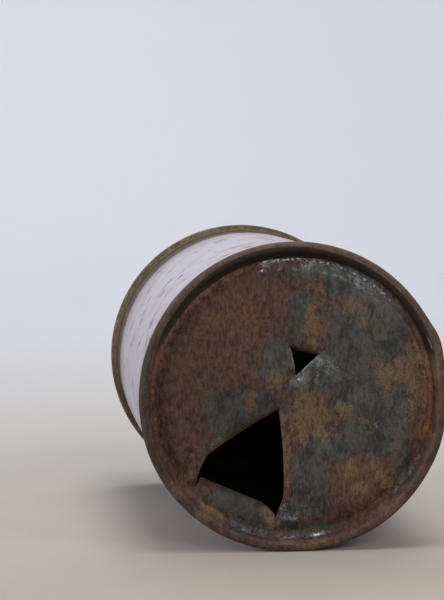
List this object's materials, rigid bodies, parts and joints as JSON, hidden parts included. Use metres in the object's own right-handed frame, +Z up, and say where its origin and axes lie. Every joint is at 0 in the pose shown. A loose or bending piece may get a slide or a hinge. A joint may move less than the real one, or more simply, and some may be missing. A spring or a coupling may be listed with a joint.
{
  "type": "seamed tin can used as a bobbin box",
  "caption": "Cylindrical double-seamed tin can lying on its side, with a paper label round the body and a rusty end pierced by a large and a small hole.",
  "frame": {"origin": "on the surface that the can lies on, midway between its two ends, under its axis", "axes": "+Z up, +Y along the can's axis from the pierced front end to the rear end, +X to the right seen from the pierced end"},
  "size_m": [0.0746, 0.1112, 0.0745],
  "materials": {
    "body_tin": "dull tinplate with brown spotting",
    "solder": "dull grey solder",
    "rusted_tin": "tinplate worn to bare grey metal and red-brown rust",
    "seal": "aged sealing compound",
    "rear_tin": "olive-brown tarnished tinplate",
    "label": "aged pale paper with faint red and grey marks"
  },
  "bodies": {
    "root": {"can_body": "body_tin", "side_seam_solder": "solder", "front_end": "rusted_tin", "front_seal": "seal", "rear_end": "rear_tin", "rear_seal": "seal", "paper_label": "label"}
  },
  "joints": []
}
